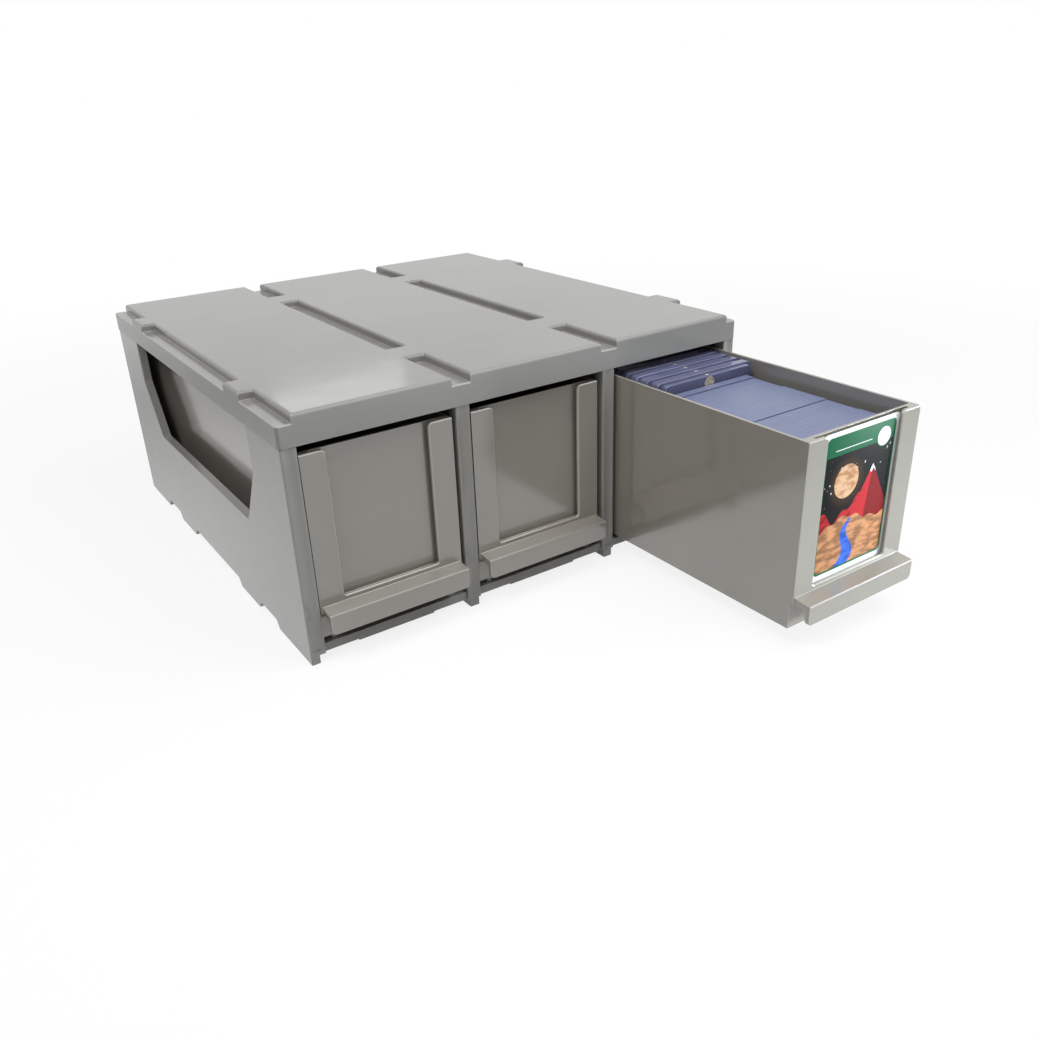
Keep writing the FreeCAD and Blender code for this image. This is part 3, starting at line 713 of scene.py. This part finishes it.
# ---------------------------------------------------------------- operators
class CARDBOX_OT_stage(bpy.types.Operator):
    """Set up the camera, the floor and the lights"""

    bl_idname = "cardbox.stage"
    bl_label = "Studio"

    def execute(self, context):
        settings = context.scene.cardbox_stage
        self.camera(context.scene, settings)
        self.floor(settings)
        for name, lamp in LAMPS.items():
            self.light(context.scene, settings, name, lamp)
        self.world(context.scene, settings)
        context.scene.view_settings.view_transform = "Standard"
        return {"FINISHED"}

    @staticmethod
    def camera(scene, settings):
        lens = bpy.data.cameras.new("camera")
        lens.sensor_width = settings.sensor
        lens.lens = settings.focal * settings.sensor
        camera = bpy.data.objects.new("camera", lens)
        scene.collection.objects.link(camera)
        turn, tilt, roll = settings.azimuth, settings.elevation, settings.roll
        ahead = Vector((
            math.sin(turn) * math.cos(tilt), math.cos(turn) * math.cos(tilt), -math.sin(tilt)))
        level = Vector((math.cos(turn), -math.sin(turn), 0.0))
        upright = level.cross(ahead)
        right = math.cos(roll) * level + math.sin(roll) * upright
        top = math.cos(roll) * upright - math.sin(roll) * level
        axes = Matrix((right, top, -ahead)).transposed()
        camera.matrix_world = Matrix.Translation(Vector(settings.place)) @ axes.to_4x4()
        scene.camera = camera

    @classmethod
    def floor(cls, settings):
        deselect()
        bpy.ops.mesh.primitive_plane_add(size=settings.floor_side, location=(0.0, 0.0, 0.0))
        floor = bpy.context.active_object
        floor.name = "floor"
        floor.data.materials.append(cls.floor_material(settings))

    @staticmethod
    def light(scene, settings, name, lamp):
        """A panel lamp that faces its aim."""
        made = bpy.data.lights.new(name, "AREA")
        made.shape = "RECTANGLE"
        made.size, made.size_y = lamp.size
        made.spread = math.radians(lamp.spread)
        made.energy = getattr(settings, lamp.power)
        made.color = getattr(settings, lamp.colour) if lamp.colour else WHITE
        stand = bpy.data.objects.new(name, made)
        stand.location = lamp.place
        facing = Vector(lamp.aim) - Vector(lamp.place)
        stand.rotation_euler = facing.to_track_quat("-Z", "Y").to_euler()
        scene.collection.objects.link(stand)

    @staticmethod
    def floor_material(settings):
        """A matt floor that keeps the box's shadow, and is plain white further out.

        Mirrors and clear surfaces see it nearly white, and it throws back less light than
        so pale a floor would.
        """
        paint = Paint("pale_floor")
        across, along = paint.axes()[:2]
        reach = (across * across + along * along).root()
        seen, diffuse = paint.ray("Camera"), paint.ray("Diffuse")
        mirrored = paint.ray("Glossy").most(paint.ray("Transmission"))
        bounce = paint.blend(
            reach.rise(*settings.near_reach), tinted(settings.floor_colour, settings.floor_near),
            tinted(settings.floor_colour, settings.floor_return))
        shade = paint.blend(mirrored.most(diffuse), settings.floor_colour, bounce)
        matt = paint.node("ShaderNodeBsdfDiffuse", inputs={"Color": shade})
        plain = paint.node(
            "ShaderNodeEmission", inputs={"Color": opaque(WHITE), "Strength": 1.0})
        mirror = along.rise(*settings.rear_reach, settings.floor_mirror,
                            settings.floor_mirror * settings.floor_dim)
        near = seen * settings.floor_glow + mirrored * mirror
        far = seen.most(mirrored)
        share = near + (far - near) * reach.rise(*settings.white_reach)
        mix = paint.node("ShaderNodeMixShader", inputs={0: share, 1: matt, 2: plain})
        return paint.close(mix)

    @staticmethod
    def world(scene, settings):
        """Even light, and plain white wherever the camera, mirrors or clear surfaces see it."""
        paint = Paint("studio", bpy.data.worlds, "ShaderNodeOutputWorld")
        seen = paint.ray("Camera").most(paint.ray("Glossy")).most(paint.ray("Transmission"))
        level = paint.node("ShaderNodeMapRange", inputs={
            "Value": seen, "To Min": settings.ambient, "To Max": 1.0})
        sky = paint.node("ShaderNodeBackground", inputs={
            "Color": opaque(WHITE), "Strength": level})
        scene.world = paint.close(sky)


class CARDBOX_OT_cabinet(bpy.types.Operator):
    """Make the lid, base, sides, dividers and back as mouldings with softened edges"""

    bl_idname = "cardbox.cabinet"
    bl_label = "Cabinet mouldings"

    def execute(self, context):
        settings = context.scene.cardbox_mould
        colour = settings.cabinet_colour
        grey = moulded_pair("cabinet_grey", colour, settings, settings.cabinet_skin)
        polished = moulded_pair("side_grey", colour, settings, settings.side_skin)
        for node, name in CABINET.items():
            piece = copy_node(node, name + "_moulding", settings.merge)
            side = node in ("left_side", "right_side")
            if side:
                self.trim_window(piece, node, settings)
            coat(piece, *(polished if side else grey))
            soften(piece, settings, settings.edge)
            settle(piece, "cabinet", "cabinet_plastic", node)
        return {"FINISHED"}

    @staticmethod
    def trim_window(piece, node, settings):
        """Cut back the inner half of the frame round a side window.

        The cutter has the window's outline, wider by a margin: a block above the shoulders,
        drawn down and in to the sill.
        """
        low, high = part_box(node)
        outward = 1.0 if low.x > 0 else -1.0
        outer, inner = (high.x, low.x) if outward > 0 else (low.x, high.x)
        front, back, sill, shoulder = settings.window
        near, far = outer - outward * settings.jamb, inner - outward * MM
        margin = 2.9 * MM  # how far the cut reaches past the window's outline
        bottom, top = shoulder - margin / 2, high.z + MM
        length = back - front + 2 * margin
        middle_x, middle_y = (near + far) / 2, (front + back) / 2
        deselect()
        bpy.ops.mesh.primitive_cube_add(
            size=1.0, location=(middle_x, middle_y, (bottom + top) / 2),
            scale=(abs(far - near), length, top - bottom))
        cutter = bpy.context.active_object
        bpy.ops.object.transform_apply(location=True, rotation=True, scale=True)
        edit_all(cutter)
        pick(cutter, lambda face, mesh: face.normal.z < -FACING)
        drop = sill - margin - bottom
        bpy.ops.mesh.extrude_region_move(TRANSFORM_OT_translate={"value": (0.0, 0.0, drop)})
        narrow = 1.0 - 2 * settings.window_run * (-drop) / (shoulder - sill) / length
        bpy.ops.transform.resize(
            value=(1.0, narrow, 1.0), center_override=(middle_x, middle_y, sill - margin))
        bpy.ops.object.mode_set(mode="OBJECT")
        join_shapes(piece, cutter, "DIFFERENCE")


class CARDBOX_OT_drawers(bpy.types.Operator):
    """Make each drawer, its card frame and its pull handle as one moulding"""

    bl_idname = "cardbox.drawers"
    bl_label = "Drawers"

    def execute(self, context):
        settings = context.scene.cardbox_mould
        grey = moulded_pair(
            "drawer_grey", settings.drawer_colour, settings, settings.drawer_skin)
        for count in DRAWERS:
            tub, front = "drawer_%d_tub" % count, "drawer_%d_front" % count
            piece = copy_node(tub, "drawer_%d_moulding" % count, settings.merge)
            join_shapes(piece, copy_node(front, "front_copy", settings.merge))
            if count in EMPTY_DRAWERS:
                self.bow_walls(piece, tub, settings)
            coat(piece, *grey)
            soften(piece, settings, settings.edge)
            settle(piece, "drawer_%d" % count, "drawer_plastic", tub, front)
        return {"FINISHED"}

    @staticmethod
    def bow_walls(piece, node, settings):
        """An empty drawer's thin side walls lean in, most of all in the middle of the rim."""
        low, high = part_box(node)
        start, end = low.y + 2 * settings.wall, high.y - 2 * settings.wall
        strips, courses = settings.bow_strips, settings.bow_courses
        mesh = bmesh.new()
        mesh.from_mesh(piece.data)

        def beside(point):
            """Whether the point lies in a side wall, which is given a tenth more room."""
            return min(point.x - low.x, high.x - point.x) < settings.wall * 1.1

        cuts = [((0.0, start + (end - start) * i / strips, 0.0), (0.0, 1.0, 0.0))
                for i in range(strips + 1)]
        cuts += [((0.0, 0.0, low.z + (high.z - low.z) * i / courses), (0.0, 0.0, 1.0))
                 for i in range(1, courses)]
        for point, normal in cuts:
            faces = [face for face in mesh.faces if beside(face.calc_center_median())]
            edges = list(dict.fromkeys(edge for face in faces for edge in face.edges))
            corners = list(dict.fromkeys(corner for edge in edges for corner in edge.verts))
            bmesh.ops.bisect_plane(
                mesh, geom=corners + edges + faces, plane_co=point, plane_no=normal)
        for corner in mesh.verts:
            if beside(corner.co) and start < corner.co.y < end:
                along = 2 * (corner.co.y - start) / (end - start) - 1
                up = min(1.0, max(0.0, (corner.co.z - low.z) / settings.bow_rise))
                lean = settings.bow * (1 - along ** 4) * up * up * (3 - 2 * up)
                corner.co.x += lean if corner.co.x < (low.x + high.x) / 2 else -lean
        mesh.to_mesh(piece.data)
        mesh.free()


class CARDBOX_OT_sleeves(bpy.types.Operator):
    """Fill the open drawer with rows of rigid card sleeves, each open at the top"""

    bl_idname = "cardbox.sleeves"
    bl_label = "Rigid sleeves"

    def execute(self, context):
        settings = context.scene.cardbox_fill
        haze = hazy_sleeve("hazy_sleeve", settings.sleeve_colour)
        for count in STACKS:
            node = "sleeve_stack_%d" % count
            low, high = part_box(node)
            high.z -= settings.lower[count - 1]
            number = max(1, round((high.y - low.y) / settings.pitch))
            pitch = (high.y - low.y + settings.gap) / number
            piece = self.one_sleeve(low, high, pitch - settings.gap, settings)
            piece.name = "sleeves_%d" % count
            apply(piece, "ARRAY", count=number, use_relative_offset=False, use_constant_offset=True,
                  constant_offset_displace=(0.0, pitch, 0.0))
            smooth(piece, PIECE_SMOOTH)
            coat(piece, haze)
            settle(piece, "drawer_3", "sleeve_plastic", node)
        return {"FINISHED"}

    @staticmethod
    def one_sleeve(low, high, thick, settings):
        """The first sleeve of a group: rounded corners and a shallow mouth at the top."""
        centre = ((low.x + high.x) / 2, low.y + thick / 2, (low.z + high.z) / 2)
        deselect()
        bpy.ops.mesh.primitive_cube_add(size=1.0, location=centre, scale=(
            high.x - low.x, thick, high.z - low.z))
        piece = bpy.context.active_object
        bpy.ops.object.transform_apply(location=True, rotation=True, scale=True)
        edit_all(piece, "EDGE")

        def across_sheet(edge, mesh):
            ends = [mesh.vertices[i].co for i in edge.vertices]
            return abs(ends[0].y - ends[1].y) > thick / 2

        pick(piece, across_sheet, edges=True)
        bpy.ops.mesh.bevel(offset=settings.corner, segments=CORNER_STEPS, affect="EDGES")
        bpy.ops.mesh.select_mode(type="FACE")
        pick(piece, lambda face, mesh: face.normal.z > FACING)
        bpy.ops.mesh.inset(thickness=settings.sheet)
        bpy.ops.mesh.extrude_region_move(
            TRANSFORM_OT_translate={"value": (0.0, 0.0, -settings.mouth)})
        bpy.ops.object.mode_set(mode="OBJECT")
        return piece


class CARDBOX_OT_holders(bpy.types.Operator):
    """Make the magnetic holders: back half, cover and a rimmed magnet each"""

    bl_idname = "cardbox.holders"
    bl_label = "Magnetic holders"

    def execute(self, context):
        mould = context.scene.cardbox_mould
        settings = context.scene.cardbox_fill
        low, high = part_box("holder_1_magnet")
        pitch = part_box("holder_2_magnet")[0].y - low.y
        magnet = (low + high) / 2
        plating = settings.magnet_colour
        clear = clear_holder("tinted_clear", settings.holder_colour, plating, magnet, pitch)
        # Painted highlight: the holders' rounded edges take this paler tint.
        pale = tinted(settings.holder_colour, settings.holder_highlight_tone)
        rim = clear_holder("tinted_rim", pale, plating, magnet, pitch)
        metal = plated_metal("plated_magnet", plating)
        for count in HOLDERS:
            for half in ("back", "cover"):
                node = "holder_%d_%s" % (count, half)
                piece = copy_node(node, "holder_%d_%s_shell" % (count, half), mould.merge)
                coat(piece, clear, rim)
                soften(piece, mould, settings.shell_edge)
                settle(piece, "drawer_3", "holder_plastic", node)
            self.magnet(count, metal, settings)
        return {"FINISHED"}

    @staticmethod
    def magnet(count, metal, settings):
        """A disc with a rim and a sunk face."""
        node = "holder_%d_magnet" % count
        low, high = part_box(node)
        deselect()
        bpy.ops.mesh.primitive_cylinder_add(
            vertices=settings.magnet_sides, radius=(high.x - low.x) / 2, depth=high.y - low.y,
            location=tuple((low + high) / 2), rotation=(math.radians(90), 0.0, 0.0))
        piece = bpy.context.active_object
        piece.name = "holder_%d_disc" % count
        bpy.ops.object.transform_apply(location=True, rotation=True, scale=True)
        edit_all(piece)
        pick(piece, lambda face, mesh: face.normal.y < -FACING)
        bpy.ops.mesh.inset(thickness=settings.rim)
        bpy.ops.mesh.extrude_region_move(
            TRANSFORM_OT_translate={"value": (0.0, settings.sink, 0.0)})
        bpy.ops.mesh.inset(thickness=settings.sink)
        bpy.ops.object.mode_set(mode="OBJECT")
        apply(piece, "BEVEL", width=settings.sink / 2, segments=ROUND_STEPS, limit_method="ANGLE")
        weld(piece, bpy.context.scene.cardbox_mould.merge)
        smooth(piece, PIECE_SMOOTH)
        coat(piece, metal)
        settle(piece, "drawer_3", "magnet", node)


class CARDBOX_OT_card(bpy.types.Operator):
    """Make the label card with its printed front"""

    bl_idname = "cardbox.card"
    bl_label = "Label card"

    def execute(self, context):
        settings = context.scene.cardbox_card
        low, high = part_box("label_card")
        piece = copy_node("label_card", "printed_card", context.scene.cardbox_mould.merge)
        apply(piece, "BEVEL", width=settings.edge, segments=ROUND_STEPS, limit_method="ANGLE")
        smooth(piece, PIECE_SMOOTH)
        coat(piece, printed_card("printed_card", settings, low, high))
        settle(piece, "drawer_3", "card_stock", "label_card")
        return {"FINISHED"}


class CARDBOX_PT_panel(bpy.types.Panel):
    """Card storage box"""

    bl_idname = "CARDBOX_PT_panel"
    bl_label = "Card storage box"
    bl_space_type = "VIEW_3D"
    bl_region_type = "UI"
    bl_category = "Card box"

    def draw(self, context):
        for operator in OPERATORS:
            self.layout.operator(operator.bl_idname)


SETTINGS = {
    "cardbox_mould": MouldSettings,
    "cardbox_fill": FillSettings,
    "cardbox_card": CardSettings,
    "cardbox_stage": StageSettings,
}
OPERATORS = (CARDBOX_OT_stage, CARDBOX_OT_cabinet, CARDBOX_OT_drawers, CARDBOX_OT_sleeves,
             CARDBOX_OT_holders, CARDBOX_OT_card)
CLASSES = tuple(SETTINGS.values()) + OPERATORS + (CARDBOX_PT_panel,)


def register():
    for kind in CLASSES:
        bpy.utils.register_class(kind)
    for name, kind in SETTINGS.items():
        setattr(bpy.types.Scene, name, bpy.props.PointerProperty(type=kind))


def unregister():
    for name in SETTINGS:
        delattr(bpy.types.Scene, name)
    for kind in reversed(CLASSES):
        bpy.utils.unregister_class(kind)


def main():
    register()
    bpy.ops.cardbox.stage()
    bpy.ops.cardbox.cabinet()
    bpy.ops.cardbox.drawers()
    bpy.ops.cardbox.sleeves()
    bpy.ops.cardbox.holders()
    bpy.ops.cardbox.card()


if __name__ == "__main__":
    main()
